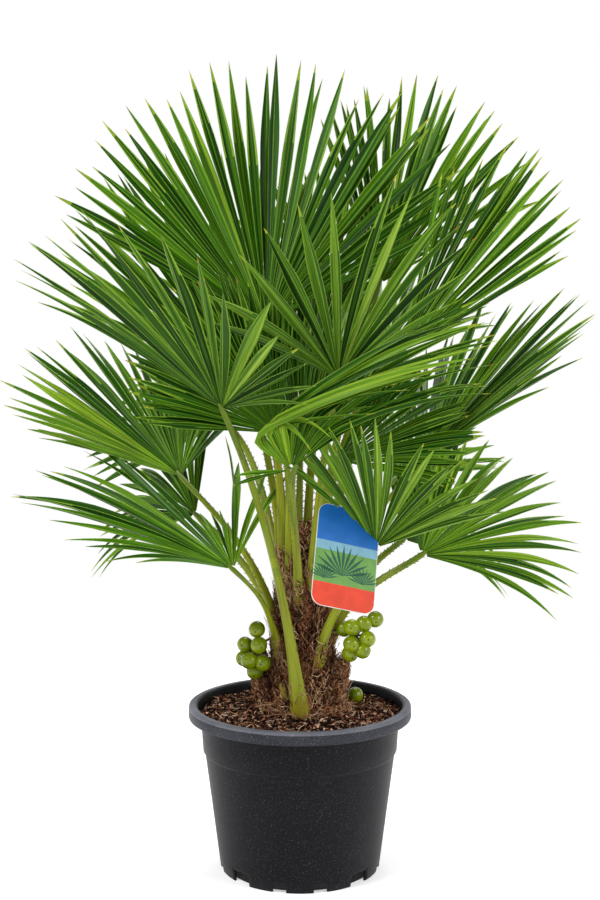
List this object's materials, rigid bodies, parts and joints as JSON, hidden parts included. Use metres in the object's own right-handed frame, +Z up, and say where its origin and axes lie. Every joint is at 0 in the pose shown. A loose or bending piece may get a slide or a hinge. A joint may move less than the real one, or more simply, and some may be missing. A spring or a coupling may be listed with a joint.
{
  "type": "potted fan palm",
  "caption": "European fan palm with toothed leaf stalks, folded fan leaves and green fruits on a short fibrous trunk, in a tapered black nursery pot.",
  "frame": {"origin": "centre of the pot's flat underside", "axes": "+Z up the pot's axis; -Y towards the viewer of the front, where the label hangs"},
  "size_m": [0.7829, 0.9099, 1.1011],
  "materials": {
    "pot_plastic": "black moulded polypropylene with pale flecks",
    "potting_soil": "damp bark and coir mix",
    "trunk_fibre": "matted brown leaf-sheath fibre",
    "stalk": "smooth green stalk with toothed edges",
    "leaf": "glossy dark green upper side",
    "leaf_underside": "matt paler green lower side",
    "fruit": "glossy green skin",
    "label_card": "printed plastic card"
  },
  "bodies": {
    "root": {"pot": "pot_plastic", "soil": "potting_soil", "trunk": "trunk_fibre", "front_left_stalk": "stalk", "front_high_stalk": "stalk", "front_folded_stalk": "stalk", "front_right_low_stalk": "stalk", "left_middle_stalk": "stalk", "left_low_stalk": "stalk", "right_low_stalk": "stalk", "right_middle_stalk": "stalk", "crown_top_stalk": "stalk", "crown_left_stalk": "stalk", "crown_right_stalk": "stalk", "right_high_stalk": "stalk", "right_inner_stalk": "stalk", "heart_left_stalk": "stalk", "heart_stalk": "stalk", "back_left_high_stalk": "stalk", "back_high_stalk": "stalk", "back_right_high_stalk": "stalk", "back_left_middle_stalk": "stalk", "back_middle_stalk": "stalk", "back_right_middle_stalk": "stalk", "back_left_low_stalk": "stalk", "back_right_low_stalk": "stalk", "offshoot_left": "trunk_fibre", "offshoot_right": "trunk_fibre", "leaf_base_front": "trunk_fibre", "fruit_bunch_left": "fruit", "fruit_bunch_right": "fruit", "fruit_loose": "fruit", "label": "label_card", "front_left_blade": "leaf_underside", "front_high_blade": "leaf_underside", "front_folded_blade": "leaf", "front_right_low_blade": "leaf_underside", "left_middle_blade": "leaf", "left_low_blade": "leaf", "right_low_blade": "leaf", "right_middle_blade": "leaf", "crown_top_blade": "leaf", "crown_left_blade": "leaf", "crown_right_blade": "leaf", "right_high_blade": "leaf", "right_inner_blade": "leaf", "heart_left_blade": "leaf", "heart_blade": "leaf", "back_left_high_blade": "leaf", "back_high_blade": "leaf", "back_right_high_blade": "leaf", "back_left_middle_blade": "leaf", "back_middle_blade": "leaf", "back_right_middle_blade": "leaf", "back_left_low_blade": "leaf", "back_right_low_blade": "leaf"}
  },
  "joints": []
}
